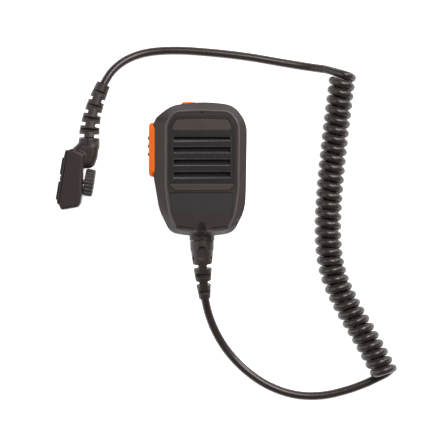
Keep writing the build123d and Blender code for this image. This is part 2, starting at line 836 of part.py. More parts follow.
# ---------------------------------------------------------------- cord
# A free cord's route is a list of places on its middle line, from one end to the other.
# The lead's first places keep their distance from the boot, however long the case is.
mic_lead = [
    (1.9, neck_end - 38.0, split_z - 6.6),
    (4.2, neck_end - 49.0, 11.0),
    (9.2, neck_end - 61.6, 6.6),
    (17.0, min(-127.2, neck_end - 68.0), 3.5),
    (28.5, min(-139.4, neck_end - 77.0), surface),
    (43.2, min(-149.7, neck_end - 84.0), surface),
    (60.8, min(-156.0, neck_end - 88.0), surface),
    (79.0, -156.7, surface),
    (96.5, -152.6, surface),
    (109.6, -147.6, surface),
    (118.4, -142.4, surface),
]
curl = [
    (93.6, 59.4, curl_diameter / 2),
    (90.0, 32.0, curl_diameter / 2),
    (87.0, 6.0, curl_diameter / 2),
    (84.2, -22.0, curl_diameter / 2),
    (82.9, -50.0, curl_diameter / 2),
    (85.6, -74.0, curl_diameter / 2),
    (95.8, -96.5, curl_diameter / 2),
    (108.5, -117.2, curl_diameter / 2),
    (121.2, -142.0, curl_diameter / 2),
]
plug_lead = [
    (-65.0, 50.4, plug_width / 2),
    (-59.6, 59.6, 8.8),
    (-49.8, 67.4, 5.2),
    (-36.2, 72.1, surface),
    (-16.5, 73.2, surface),
    (6.0, 71.6, surface),
    (30.0, 68.9, surface),
    (53.0, 64.8, surface),
    (70.0, 62.0, 3.0),
    (81.6, 60.0, 7.4),
    (90.6, 57.8, 13.2),
]


def cord_tube(route, diameter, name):
    """Tube along straight runs joined by arcs as large as the runs allow."""
    points = [Vector(*place) for place in route]
    radii = []
    for a, b, c in zip(points, points[1:], points[2:]):
        half_turn = radians((b - a).get_angle(c - b)) / 2
        run = min((b - a).length, (c - b).length)
        radii.append(0.45 * run / tan(half_turn))
    path = FilletPolyline(*points, radius=radii)
    start = Plane(origin=path @ 0, z_dir=path % 0)
    tube = sweep(start * Circle(diameter / 2), path=path)
    section = pi * diameter**2 / 4
    print(name, "length", round(path.length, 1), "radii", [round(r) for r in radii])
    print(name, "volume over section times length", round(tube.volume / section / path.length, 5))
    return tube


# ---------------------------------------------------------------- plug
def in_plug(shape):
    return plug_place * shape


def plug_block():
    """Flat body that lies against the radio's side."""
    corners = [
        (plate_thickness, 17.6, 0.6),
        (4.5, 19.5, 2),
        (13.2, 17.0, 2),
        (13.5, 6.4, 1),
        (15.5, -8.4, 4),
        (15.55, -15.6, 2),
        (14.4, -18.2, 2),
        (3.6, -21.9, 1.5),
        (plate_thickness, -18.2, 1),
    ]
    half = plug_width / 2
    body = slab(corners, -half, half)
    rims = body.faces().filter_by(Axis.Z).edges()
    rims = [edge for edge in rims if edge.center().X > plate_thickness + 0.3]
    return fillet(rims, 1.6)


def plug_neck():
    """Round elbow from the block up to the boot."""
    corners = [
        (5.6, 12.0, 2),
        (4.2, 19.7, 3),
        (6.4, 21.8, 3),
        (7.9, 24.4, 1.2),
        (21.2, 26.5, 0.8),
        (21.6, 16.5, 8),
        (20.4, 10.2, 2.5),
        (17.8, 8.4, 2),
        (13.0, 7.4, 1),
    ]
    body = slab(corners, -7.2, 7.2)
    return fillet(body.faces().filter_by(Axis.Z).edges(), 4.4)


def plug_housing():
    body = in_plug(plug_block() + plug_neck())
    body += rod_y(collar_radius, collar_y - 7, collar_y, collar_x, plug_width / 2)
    cavity = box(plate_thickness - 1, 9.5, -15.5, 13.0, -7.5, 7.5)
    cavity -= rod_x(3.4, 2.9, 12, knob_y, 0)
    body -= in_plug(cavity)
    body -= in_plug(rod_x(thumb_radius + running_gap, -2, 20, knob_y, 0))
    return body


def plug_plate():
    """Contact plate that closes the block, with sunk places for the two seals."""
    corners = [
        (0, 16.2, 0.8),
        (0.7, 17.9, 0.4),
        (plate_thickness - 0.02, 17.9, 0.2),
        (plate_thickness - 0.02, -18.4, 0.2),
        (0.7, -18.4, 0.4),
        (0, -16.6, 0.8),
    ]
    half = plug_width / 2 - 0.3
    body = slab(corners, -half, half)
    body -= rod_x(thumb_radius + running_gap, -2, 4, knob_y, 0)
    for low, high in seal_spans:
        body -= box(-1, 0.5, low, high, -seal_half, seal_half)
    for y, z in contact_places:
        body -= rod_x(0.75, -2, 4, y, z)
    return in_plug(body)


def plug_seals():
    seals = []
    for low, high in seal_spans:
        seal = box(-1.1, 0.5, low, high, -seal_half, seal_half)
        seal = fillet(seal.edges().filter_by(Axis.X), 1.4)
        for y, z in contact_places:
            if low < y < high:
                seal -= rod_x(1.25, -2, 4, y, z)
        seals.append(in_plug(seal))
    return group(seals)


def plug_contacts():
    pins = []
    for y, z in contact_places:
        pin = rod_x(0.7, -0.8, 3.0, y, z)
        pins.append(in_plug(fillet(pin.faces().sort_by(Axis.X)[0].edges(), 0.3)))
    return group(pins)


def plug_board():
    board = box(3.0, 4.2, -15.0, 12.5, -7.0, 7.0)
    return in_plug(board - rod_x(3.8, 2, 5, knob_y, 0))


def thumb_knob():
    """Scalloped knob. Each scallop is a cut by a small round bar."""
    body = rod_x(knob_radius, knob_x, knob_x + knob_thickness, knob_y, 0)
    body = chamfer(body.edges().filter_by(GeomType.CIRCLE), 0.8)
    scallops = 22
    for index in range(scallops):
        angle = 2 * pi * index / scallops
        y = knob_y + (knob_radius + 0.35) * cos(angle)
        z = (knob_radius + 0.35) * sin(angle)
        body -= rod_x(0.9, knob_x - 1, knob_x + knob_thickness + 1, y, z)
    return in_plug(body - rod_x(thumb_radius, knob_x - 1, knob_x + knob_thickness - 1.5, knob_y, 0))


def thumb_screw():
    body = rod_x(thumb_radius, -1.0, knob_x + knob_thickness - 1.5, knob_y, 0)
    groove = rod_x(3, 1.7, 2.4, knob_y, 0) - rod_x(thumb_radius - 0.35, 1, 3, knob_y, 0)
    return in_plug(chamfer(body.faces().sort_by(Axis.X)[0].edges(), 0.3) - groove)


def retaining_ring():
    ring = rod_x(2.5, 1.75, 2.35, knob_y, 0) - rod_x(thumb_radius - 0.35, 1, 3, knob_y, 0)
    return in_plug(ring - box(1, 3, knob_y, knob_y + 4, -0.7, 0.7))


# ---------------------------------------------------------------- write every node
write(front_housing(), "front_housing")
write(rear_housing(), "rear_housing")
write(case_seal(), "case_seal")
write(case_screws(), "case_screws")
write(grille_panel(), "grille_panel")
write(badge_plate(), "badge_plate")
write(speaker_cloth(), "speaker_cloth")
write(speaker_gasket(), "speaker_gasket")
write(speaker_frame(), "speaker_frame")
write(speaker_cone(), "speaker_cone")
write(speaker_magnet(), "speaker_magnet")
write(capsule_boot(), "capsule_boot")
write(microphone_capsule(), "microphone_capsule")
write(circuit_board(), "circuit_board")
write(board_chips(), "board_chips")
write(board_screws(), "board_screws")
write(talk_switch(), "talk_switch")
write(alarm_switch(), "emergency_switch")
write(jack_socket(), "jack_socket")
write(wire_connector(), "wire_connector")
write(talk_seal(), "talk_key_seal")
write(cord_tail(), "cord_tail")
write(cord_clamp(), "cord_clamp")
write(cord_wires(), "cord_wires")
write(clip_insert(), "clip_insert")
write(clip_screw(), "clip_screw")
write(swivel_washer(), "swivel_washer")
write(mic_boot(), "mic_boot")
write(cord_tube(mic_lead, cord_diameter, "cord_mic_end"), "cord_mic_end")
write(cord_tube(curl, curl_diameter, "curly_cord"), "curly_cord")
write(cord_tube(plug_lead, cord_diameter, "cord_plug_end"), "cord_plug_end")
write(plug_boot(), "plug_boot")
write(plug_housing(), "plug_housing")
write(plug_plate(), "plug_plate")
write(plug_seals(), "plug_seals")
write(plug_contacts(), "plug_contacts")
write(plug_board(), "plug_board")
write(talk_key(), "talk_key")
write(talk_key_grips(), "talk_key_grips")
write(talk_actuator(), "talk_actuator")
write(alarm_key(), "emergency_key")
write(alarm_spring(), "emergency_spring")
write(jack_cover(), "jack_cover")
write(clip_base(), "clip_base")
write(clip_pin(), "clip_pin")
write(clip_spring(), "clip_spring")
write(clip_jaw(), "clip_jaw")
write(thumb_knob(), "thumb_knob")
write(thumb_screw(), "thumb_screw")
write(retaining_ring(), "retaining_ring")
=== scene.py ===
import json
import math
import random

import bmesh
import bpy
from bpy.props import FloatProperty, IntProperty, PointerProperty, StringProperty
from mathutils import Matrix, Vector


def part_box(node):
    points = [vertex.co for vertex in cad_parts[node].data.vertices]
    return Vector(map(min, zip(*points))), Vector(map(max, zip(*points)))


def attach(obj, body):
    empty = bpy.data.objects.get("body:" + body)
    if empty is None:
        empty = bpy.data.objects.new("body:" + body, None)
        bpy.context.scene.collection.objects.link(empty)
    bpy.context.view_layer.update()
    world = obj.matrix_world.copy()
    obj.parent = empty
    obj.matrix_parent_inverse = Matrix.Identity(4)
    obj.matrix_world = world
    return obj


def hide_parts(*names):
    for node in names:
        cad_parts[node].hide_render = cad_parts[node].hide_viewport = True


bl_info = {
    "name": "Hand microphone",
    "version": (1, 0, 0),
    "blender": (4, 5, 0),
    "location": "3D View > Sidebar > Microphone",
    "description": "Builds a hand-held microphone with its curly cord and side plug round a packed frame",
    "category": "Add Mesh",
}

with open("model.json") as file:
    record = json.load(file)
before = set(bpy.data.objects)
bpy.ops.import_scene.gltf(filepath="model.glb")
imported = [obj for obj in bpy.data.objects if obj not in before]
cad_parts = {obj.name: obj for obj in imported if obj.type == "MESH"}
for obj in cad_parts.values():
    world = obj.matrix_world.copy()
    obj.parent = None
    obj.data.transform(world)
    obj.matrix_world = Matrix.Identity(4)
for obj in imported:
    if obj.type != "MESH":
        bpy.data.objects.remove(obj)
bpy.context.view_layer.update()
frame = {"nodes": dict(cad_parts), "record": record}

MM = 0.001


# ---------------------------------------------------------------- sizes and colours a user may change
class CordSizes(bpy.types.PropertyGroup):
    """Sizes of the curly cord."""

    diameter: FloatProperty(name="Diameter", description="Thickness of the cord's jacket",
                            default=5.4 * MM, unit="LENGTH", subtype="DISTANCE")
    length: FloatProperty(name="Length", description="Whole length of the cord, along its turns",
                          default=1.67, unit="LENGTH", subtype="DISTANCE")
    turns: IntProperty(name="Turns", description="Whole turns of the curl", default=33, min=4, max=60)
    curl_radius: FloatProperty(name="Curl radius", description="From the curl's middle to the cord's middle",
                               default=6.3 * MM, unit="LENGTH", subtype="DISTANCE")


class StudioSizes(bpy.types.PropertyGroup):
    """Camera and lights."""

    camera_height: FloatProperty(name="Camera height", description="Camera above the floor",
                                 default=2.2, unit="LENGTH", subtype="DISTANCE")
    view_width: FloatProperty(name="View width", description="Width of the view, at the microphone's middle",
                              default=283.8 * MM, unit="LENGTH", subtype="DISTANCE")
    sky: FloatProperty(name="Sky", description="Strength of the even white light", default=0.06, min=0)
    key_light: FloatProperty(name="Key light", description="Power of the large light at the upper right",
                             default=27.0, min=0)


class FinishColours(bpy.types.PropertyGroup):
    """Colours of the main finishes, as sRGB hex values."""

    housing: StringProperty(name="Housing", description="Colour of the moulded shells", default="#302A29")
    orange: StringProperty(name="Keys", description="Colour of the two orange keys", default="#FA7400")
    jacket: StringProperty(name="Cord", description="Colour of the cord's jacket", default="#302B29")
    rubber: StringProperty(name="Rubber", description="Colour of the boots and seals", default="#2E2826")


# ---------------------------------------------------------------- materials
def linear(text):
    """An sRGB hex value as linear red, green, blue and an alpha of 1."""
    parts = [int(text[i:i + 2], 16) / 255 for i in (1, 3, 5)]
    return [c / 12.92 if c <= 0.04045 else ((c + 0.055) / 1.055) ** 2.4 for c in parts] + [1.0]


def add_node(tree, kind, inputs=None, **settings):
    """A new node with its settings. An input is a plain value, or a socket that is linked to it."""
    node = tree.nodes.new(kind)
    for name, value in settings.items():
        setattr(node, name, value)
    for name, value in (inputs or {}).items():
        if isinstance(value, bpy.types.NodeSocket):
            tree.links.new(value, node.inputs[name])
        else:
            node.inputs[name].default_value = value
    return node


# A Mix node has a set of sockets for each kind of value. These are the colour ones.
MIX_FACTOR, MIX_A, MIX_B, MIX_RESULT = 0, 6, 7, 2


def finish(name, colour, other, wear_and_highlight, roughness, spread, grain, depth, blotch=9.0, wear_and_highlight_strength=0.7, **shader):
    """A finish with slow colour variation, pale edges (partly wear, partly a painted highlight), uneven gloss
    and a fine grain.

    grain and blotch are the sizes in millimetres of the surface's grain and of its colour changes,
    and depth is how high the grain stands, in millimetres.
    """
    material = bpy.data.materials.new(name)
    material.use_nodes = True
    tree = material.node_tree
    tree.nodes.clear()
    place = add_node(tree, "ShaderNodeTexCoord").outputs["Object"]
    slow = add_node(tree, "ShaderNodeTexNoise", {"Vector": place, "Scale": 1 / (blotch * MM), "Detail": 4.0})
    fine = add_node(tree, "ShaderNodeTexNoise",
                    {"Vector": place, "Scale": 1 / (grain * MM), "Detail": 3.0, "Roughness": 0.6})
    mixed = add_node(tree, "ShaderNodeMix",
                     {MIX_FACTOR: slow.outputs["Fac"], MIX_A: linear(colour), MIX_B: linear(other)},
                     data_type="RGBA")
    # An edge that is handled loses its grain and looks paler; this paleness on rounded edges is also a
    # painted highlight.
    edge = add_node(tree, "ShaderNodeAttribute", attribute_name=WEAR_AND_HIGHLIGHT)
    rubbed_and_highlit = add_node(tree, "ShaderNodeMath", {0: edge.outputs["Fac"], 1: wear_and_highlight_strength}, operation="MULTIPLY")
    broken = add_node(tree, "ShaderNodeMath", {0: rubbed_and_highlit.outputs["Value"], 1: fine.outputs["Fac"]},
                      operation="MULTIPLY")
    surface = add_node(tree, "ShaderNodeMix",
                       {MIX_FACTOR: broken.outputs["Value"], MIX_A: mixed.outputs[MIX_RESULT],
                        MIX_B: linear(wear_and_highlight)}, data_type="RGBA")
    gloss = add_node(tree, "ShaderNodeMapRange",
                     {"Value": fine.outputs["Fac"], "From Min": 0.3, "From Max": 0.7,
                      "To Min": roughness - spread, "To Max": roughness + spread})
    bump = add_node(tree, "ShaderNodeBump",
                    {"Height": fine.outputs["Fac"], "Distance": depth * MM, "Strength": 1.0})
    inputs = {"Base Color": surface.outputs[MIX_RESULT], "Roughness": gloss.outputs["Result"],
              "Normal": bump.outputs["Normal"]}
    inputs.update(shader)
    body = add_node(tree, "ShaderNodeBsdfPrincipled", inputs)
    add_node(tree, "ShaderNodeOutputMaterial", {"Surface": body.outputs["BSDF"]})
    return material


def make_finishes(colours):
    """Every finish of the microphone, named for what it is and how its surface was made.

    The real grains are about 0.1 mm and would not show, so they are drawn at 0.3 mm and more.
    """
    return {
        # Polycarbonate and ABS shell from a spark-eroded mould: dark and dull, its edges painted pale as a
        # soft sheen: a painted highlight, with some wear.
        "housing": finish("pc_abs_shell_spark_eroded", colours.housing, "#3A3331", "#827E7C", 0.38, 0.05,
                          0.35, 0.012, wear_and_highlight_strength=1.0, **{"IOR": 1.5, "Specular IOR Level": 0.3}),
        # The same plastic where the mould was etched deeper: rougher and a little bluer.
        "etched": finish("pc_abs_shell_etched", "#131214", "#1A181B", "#5C5A5C", 0.46, 0.1, 0.6, 0.05,
                         **{"IOR": 1.55}),
        # Grille moulded in a polished tool: darker and smoother than the shell, so its bars catch the light.
        "grille": finish("pc_abs_grille_polished", "#161517", "#1D1A1B", "#7C787A", 0.3, 0.05, 0.5, 0.006,
                         **{"IOR": 1.56}),
        # Badge plate, pressed in after moulding, satin.
        "badge": finish("abs_badge_satin", "#3A3432", "#423B37", "#7A7674", 0.34, 0.05, 0.4, 0.006,
                        **{"IOR": 1.54}),
        # Glass-filled nylon of the clip and the inner parts: dull, with an uneven gloss from its fibres.
        "nylon": finish("glass_filled_nylon_moulded", "#1F1E1F", "#292728", "#5A5859", 0.5, 0.1, 0.45, 0.02,
                        **{"IOR": 1.53}),
        # The same nylon on the thumb knob, from a knurled mould: rough, so that it glints in small spots.
        "knurl": finish("glass_filled_nylon_knurled", "#2E2B2B", "#3A3636", "#6A6868", 0.36, 0.08, 0.9, 0.14,
                        **{"IOR": 1.53}),
        # Bright orange thermoplastic elastomer, moulded smooth: satin, and painted paler on its rounded
        # edges: partly wear where fingers rub it, partly a painted highlight.
        "orange": finish("tpe_key_orange_moulded", colours.orange, "#F07000", "#FF9A2A", 0.55, 0.05, 0.4,
                         0.008, wear_and_highlight_strength=0.9, **{"IOR": 1.5, "Specular IOR Level": 0.3,
                                             "Subsurface Weight": 0.08, "Subsurface Scale": 0.6 * MM}),
        # Soft black rubber of the boots, seals and grips.
        "rubber": finish("tpe_boot_black_moulded", colours.rubber, "#37302D", "#4F4B4A", 0.44, 0.07, 0.4,
                         0.015, **{"IOR": 1.5}),
        # Polyurethane jacket, extruded and then heat-set into a curl: half gloss and almost smooth.
        "jacket": finish("polyurethane_jacket_extruded", colours.jacket, "#3A3431", "#5A5552", 0.28, 0.03,
                         0.8, 0.003, **{"IOR": 1.52}),
        # Woven nylon cloth over the speaker, dyed black, and set darker still as painted shade in the
        # grille's slots.
        "cloth": finish("nylon_cloth_with_painted_shade", "#060606", "#0A0A0A", "#101010", 0.85, 0.08, 0.3, 0.06,
                        **{"IOR": 1.5, "Sheen Weight": 0.2}),
        # Pressed paper of the speaker's cone: fibrous and dull.
        "paper": finish("paper_cone_pressed", "#1A1918", "#242220", "#3B3936", 0.8, 0.08, 0.5, 0.04,
                        **{"IOR": 1.45}),
        # Zinc-plated and turned steel: pale grey with a broken shine.
        "steel": finish("zinc_plated_steel_turned", "#A9AAAC", "#8E9092", "#D2D3D4", 0.3, 0.1, 0.5, 0.01,
                        **{"Metallic": 1.0}),
        # Sintered ferrite of the magnet.
        "ferrite": finish("ferrite_sintered", "#2A2A2C", "#37373A", "#606064", 0.6, 0.1, 0.4, 0.03,
                          **{"IOR": 1.8}),
        # Turned brass, lightly tarnished.
        "brass": finish("brass_turned", "#C79A4B", "#AD8440", "#E3C27A", 0.3, 0.08, 0.4, 0.008,
                        **{"Metallic": 1.0}),
        # Contacts, gold flash over nickel: bright and smooth.
        "gold": finish("gold_flash_plated", "#E0B24E", "#D0A040", "#F3D58A", 0.2, 0.05, 0.3, 0.004,
                       **{"Metallic": 1.0}),
        # Green lacquer over glass and epoxy board.
        "board": finish("fr4_board_lacquered", "#14562C", "#0F4824", "#4B8A5E", 0.35, 0.08, 0.6, 0.015,
                        **{"IOR": 1.55}),
        # Epoxy of the chips, matt black with a pitted face.
        "epoxy": finish("epoxy_package_moulded", "#161617", "#1F1F20", "#3D3D3F", 0.6, 0.08, 0.3, 0.02,
                        **{"IOR": 1.55}),
        # Foam rubber, grey-black and open-celled.
        "foam": finish("foam_rubber_cut", "#1D1D1E", "#2A2A2B", "#38383A", 0.9, 0.05, 0.7, 0.15,
                       **{"IOR": 1.4}),
    }


def paint_sheet():
    """Matt white paper of the studio floor, with a faint tooth."""
    material = bpy.data.materials.new("studio_paper_matt")
    material.use_nodes = True
    tree = material.node_tree
    tree.nodes.clear()
    place = add_node(tree, "ShaderNodeTexCoord").outputs["Object"]
    # The tooth repeats about every 1.1 mm. Real paper is finer, but that would not show.
    tooth = add_node(tree, "ShaderNodeTexNoise", {"Vector": place, "Scale": 0.9 / MM, "Detail": 2.0})
    bump = add_node(tree, "ShaderNodeBump", {"Height": tooth.outputs["Fac"], "Distance": 0.02 * MM})
    body = add_node(tree, "ShaderNodeBsdfPrincipled",
                    {"Base Color": linear("#F7F7F7"), "Roughness": 0.9, "Specular IOR Level": 0.1,
                     "Emission Color": linear("#FFFFFF"), "Emission Strength": 0.9,
                     "Normal": bump.outputs["Normal"]})
    add_node(tree, "ShaderNodeOutputMaterial", {"Surface": body.outputs["BSDF"]})
    return material


FINISHES = {}  # filled on first use
WEAR_AND_HIGHLIGHT = "wear_and_highlight"  # the attribute that is 1 on a piece's rounded edges, which are painted pale: partly wear, partly a painted highlight
ROUNDED = 1  # material number that the rounding gives its faces, before they are marked


# ---------------------------------------------------------------- shared shaping
FLAT = math.cos(math.radians(0.3))  # faces closer than this lie in one plane
SHARP_EDGE = 35  # degrees, the least turn that is rounded
WELD = 0.002 * MM  # points closer than this are one point
ONE_SURFACE = math.cos(math.radians(50))  # faces closer than this shade as one surface
HOME = {node: body for body, nodes in frame["record"]["behaviour"]["bodies"].items() for node in nodes}


def finish_named(name):
    """The finish of that name. All of them are made when the first one is asked for."""
    if not FINISHES:
        FINISHES.update(make_finishes(bpy.context.scene.microphone_colours))
    return FINISHES[name]


def mark_wear_and_highlight(piece):
    """Notes the faces of the rounded outer edges in an attribute, which paints them pale as wear and as a
    painted highlight, and gives every face the one finish.
    """
    mesh = piece.data
    work = bmesh.new()
    work.from_mesh(mesh)
    layer = work.faces.layers.float.new(WEAR_AND_HIGHLIGHT)
    for face in work.faces:
        rounded = face.material_index == ROUNDED and any(edge.is_convex for edge in face.edges)
        face[layer] = 1.0 if rounded else 0.0
        face.material_index = 0
    work.to_mesh(mesh)
    work.free()
    mesh.materials.pop(index=ROUNDED)


def new_piece(name, mesh, material):
    """A new object in the scene with the mesh and the one finish."""
    piece = bpy.data.objects.new(name, mesh)
    bpy.context.scene.collection.objects.link(piece)
    mesh.materials.clear()
    mesh.materials.append(finish_named(material))
    return piece


def bake(piece):
    """Applies the piece's modifiers to its mesh."""
    graph = bpy.context.evaluated_depsgraph_get()
    mesh = bpy.data.meshes.new_from_object(piece.evaluated_get(graph))
    piece.modifiers.clear()
    old = piece.data
    piece.data = mesh
    bpy.data.meshes.remove(old)


def packed_copy(node):
    """The node's mesh with its double points joined."""
    mesh = frame["nodes"][node].data.copy()
    mesh.attributes.remove(mesh.attributes["custom_normal"])
    work = bmesh.new()
    work.from_mesh(mesh)
    bmesh.ops.remove_doubles(work, verts=work.verts, dist=WELD)
    work.to_mesh(mesh)
    work.free()
    return mesh


def flat_regions(work):
    """The number of each face's flat region, and the area of every region in square millimetres."""
    region, areas = {}, []
    for seed in work.faces:
        if seed.index in region:
            continue
        region[seed.index] = len(areas)
        waiting, area = [seed], 0.0
        while waiting:
            face = waiting.pop()
            area += face.calc_area() / MM**2
            for other in {other for edge in face.edges for other in edge.link_faces}:
                if other.index not in region and other.normal.dot(seed.normal) > FLAT:
                    region[other.index] = len(areas)
                    waiting.append(other)
        areas.append(area)
    return region, areas


def level_normals(mesh):
    """Normals that keep a flat face flat right up to its rounded edge, so that it shades as moulded."""
    work = bmesh.new()
    work.from_mesh(mesh)
    work.normal_update()
    region, areas = flat_regions(work)
    normals = []
    for face in work.faces:
        for vert in face.verts:
            near = {region[other.index]: other.normal for other in vert.link_faces
                    if other.normal.dot(face.normal) > ONE_SURFACE}
            total = Vector()
            for key, normal in near.items():
                total += normal * areas[key] ** 2
            normals.append(total.normalized())
    work.free()
    mesh.polygons.foreach_set("use_smooth", [True] * len(mesh.polygons))
    mesh.normals_split_custom_set(normals)


def settle(piece, node):
    """The piece rides where the node does and stands for it."""
    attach(piece, HOME[node])
    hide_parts(node)


def round_over(mesh, chosen, width, segments):
    """Rounds the chosen edges by width millimetres.

    chosen is given an edge, its middle and its turn in degrees, and says whether the edge is one of them.
    """
    work = bmesh.new()
    work.from_mesh(mesh)
    edges = [edge for edge in work.edges if len(edge.link_faces) == 2 and edge.is_convex and
             chosen(edge, (edge.verts[0].co + edge.verts[1].co) / 2, math.degrees(edge.calc_face_angle()))]
    bmesh.ops.bevel(work, geom=edges, offset=width * MM, segments=segments, profile=0.5, affect="EDGES",
                    clamp_overlap=False, loop_slide=False, miter_outer="ARC", material=ROUNDED)
    work.to_mesh(mesh)
    work.free()


def eased(node, name, material, edge, broad=(), rubbed_and_highlit=True):
    """A piece with the node's shape, its sharp edges rounded by edge millimetres, as a mould leaves them.

    broad lists the edges that are rounded further first, as round_over takes them. rubbed is False for a
    piece whose finer edges lie too deep for fingers to rub them, so they are painted neither as wear nor as a
    highlight.
    """
    piece = new_piece(name, packed_copy(node), material)
    piece.data.materials.append(finish_named(material))
    for chosen, width, segments in broad:
        round_over(piece.data, chosen, width, segments)
    rounding = piece.modifiers.new("rounding", "BEVEL")
    rounding.width = edge * MM
    rounding.segments = 2
    rounding.limit_method = "ANGLE"
    rounding.angle_limit = math.radians(SHARP_EDGE)
    rounding.use_clamp_overlap = False
    rounding.miter_outer = "MITER_ARC"
    # faces of this rounding are later painted pale: partly wear, partly a painted highlight
    rounding.material = ROUNDED if rubbed_and_highlit else 0
    rounding.loop_slide = False  # sliding along the thin faces of a flat side would fold them over each other
    bake(piece)
    mark_wear_and_highlight(piece)
    level_normals(piece.data)
    settle(piece, node)
    return piece


def cast(node, name, material, voxel, rounds):
    """A piece with the node's shape and soft flowing edges, as rubber leaves its mould.

    voxel is the fineness in millimetres, and more rounds make softer edges.
    """
    piece = new_piece(name, packed_copy(node), material)
    even = piece.modifiers.new("even", "REMESH")
    even.mode = "VOXEL"
    even.voxel_size = voxel * MM
    soft = piece.modifiers.new("soft", "SMOOTH")
    soft.factor = 0.5
    soft.iterations = rounds
    bake(piece)
    piece.data.materials.clear()
    piece.data.materials.append(finish_named(material))
    piece.data.polygons.foreach_set("use_smooth", [True] * len(piece.data.polygons))
    settle(piece, node)


def paint_node(node, material):
    """A node whose shape is right keeps it, and gets a better finish."""
    item = frame["nodes"][node]
    if not item.material_slots:
        item.data.materials.append(None)
    for slot in item.material_slots:
        slot.material = finish_named(material)


# ---------------------------------------------------------------- the cord
# Control points of the cord's middle line, in metres. The line runs close inside them.
MIC_LEAD = [
    (0.0019, -0.0910, 0.0156),
    (0.0042, -0.1020, 0.0110),
    (0.0092, -0.1146, 0.0066),
    (0.0170, -0.1272, 0.0036),
    (0.0285, -0.1394, 0.0027),
    (0.0432, -0.1497, 0.0027),
    (0.0608, -0.1560, 0.0027),
    (0.0790, -0.1567, 0.0027),
    (0.0965, -0.1526, 0.0027),
    (0.1096, -0.1476, 0.0027),
]
CURL = [
    (0.0936, 0.0594, 0.0091),
    (0.0900, 0.0320, 0.0091),
    (0.0870, 0.0060, 0.0091),
    (0.0842, -0.0220, 0.0091),
    (0.0829, -0.0500, 0.0091),
    (0.0856, -0.0740, 0.0091),
    (0.0958, -0.0965, 0.0091),
    (0.1085, -0.1172, 0.0091),
    (0.1228, -0.1444, 0.0091),
]
PLUG_LEAD = [
    (-0.0650, 0.0504, 0.0105),
    (-0.0596, 0.0596, 0.0088),
    (-0.0498, 0.0674, 0.0052),
    (-0.0362, 0.0721, 0.0027),
    (-0.0165, 0.0732, 0.0027),
    (0.0060, 0.0716, 0.0027),
    (0.0300, 0.0689, 0.0027),
    (0.0530, 0.0648, 0.0027),
    (0.0700, 0.0620, 0.0031),
    (0.0816, 0.0602, 0.0076),
]
LEAD_CUTS = 3  # each one doubles a lead's control points
CURL_MARGIN = 0.0028  # of the curl's two ends, which the first and last turns leave free
TURN_POINTS = 16
FLAT_SIDES = 1.02  # the cord's flat sides run inside its true circle
TURN_DRIFT = 0.12 * MM  # how far a turn may lie out of its even place


def smooth_curve(name, points, steps):
    """A NURBS curve of one open spline, with steps points drawn for each of its control points."""
    curve = bpy.data.curves.new(name, "CURVE")
    curve.dimensions = "3D"
    curve.resolution_u = steps
    spline = curve.splines.new("NURBS")
    spline.points.add(len(points) - 1)
    for control, place in zip(spline.points, points):
        control.co = (*place, 1.0)
    spline.order_u = 3
    spline.use_endpoint_u = True
    return curve


def curl_middle():
    """Points close together on the curl's middle line, with how far along it each one is."""
    guide = bpy.data.objects.new("curl_guide", smooth_curve("curl_guide", CURL, steps=24))
    bpy.context.scene.collection.objects.link(guide)
    mesh = bpy.data.meshes.new_from_object(guide.evaluated_get(bpy.context.evaluated_depsgraph_get()))
    points = [vertex.co.copy() for vertex in mesh.vertices]
    curve = guide.data
    bpy.data.objects.remove(guide)
    bpy.data.curves.remove(curve)
    bpy.data.meshes.remove(mesh)
    reach = [0.0]
    for a, b in zip(points, points[1:]):
        reach.append(reach[-1] + (b - a).length)
    return points, reach


def on_middle(points, reach, distance):
    """Place and direction at a distance along the middle line."""
    index = 0
    while index < len(reach) - 2 and reach[index + 1] < distance:
        index += 1
    a, b = points[index], points[index + 1]
    share = (distance - reach[index]) / (reach[index + 1] - reach[index])
    return a.lerp(b, share), (b - a).normalized()


def curl_points(sizes):
    """Control points of the curl, from its end near the plug to its end near the microphone."""
    points, reach = curl_middle()
    chance = random.Random(7)
    total = 2 * math.pi * sizes.turns + math.pi
    count = sizes.turns * TURN_POINTS + TURN_POINTS // 2
    # The spline runs inside its control points, so they stand a little further out.
    radius = sizes.curl_radius / math.cos(math.pi / TURN_POINTS)
    places = []
    drift = 0.0
    for step in range(count + 1):
        share = step / count
        turn = total * share - math.pi / 2
        if step % TURN_POINTS == 0:
            drift = chance.uniform(-TURN_DRIFT, TURN_DRIFT)
        along = CURL_MARGIN + (reach[-1] - 2 * CURL_MARGIN) * share + drift * math.sin(math.pi * share)
        middle, forward = on_middle(points, reach, along)
        side = Vector((-forward.y, forward.x, 0)).normalized()
        places.append(middle + side * radius * math.cos(turn) - Vector((0, 0, 1)) * radius * math.sin(turn))
    return places


def finer(points):
    """The same curve with more control points, so that the long leads bend in short steps."""
    points = [Vector(point) for point in points]
    for _ in range(LEAD_CUTS):
        cut = [points[0]]
        for a, b in zip(points, points[1:]):
            cut += [a.lerp(b, 0.25), a.lerp(b, 0.75)]
        points = cut + [points[-1]]
    return points


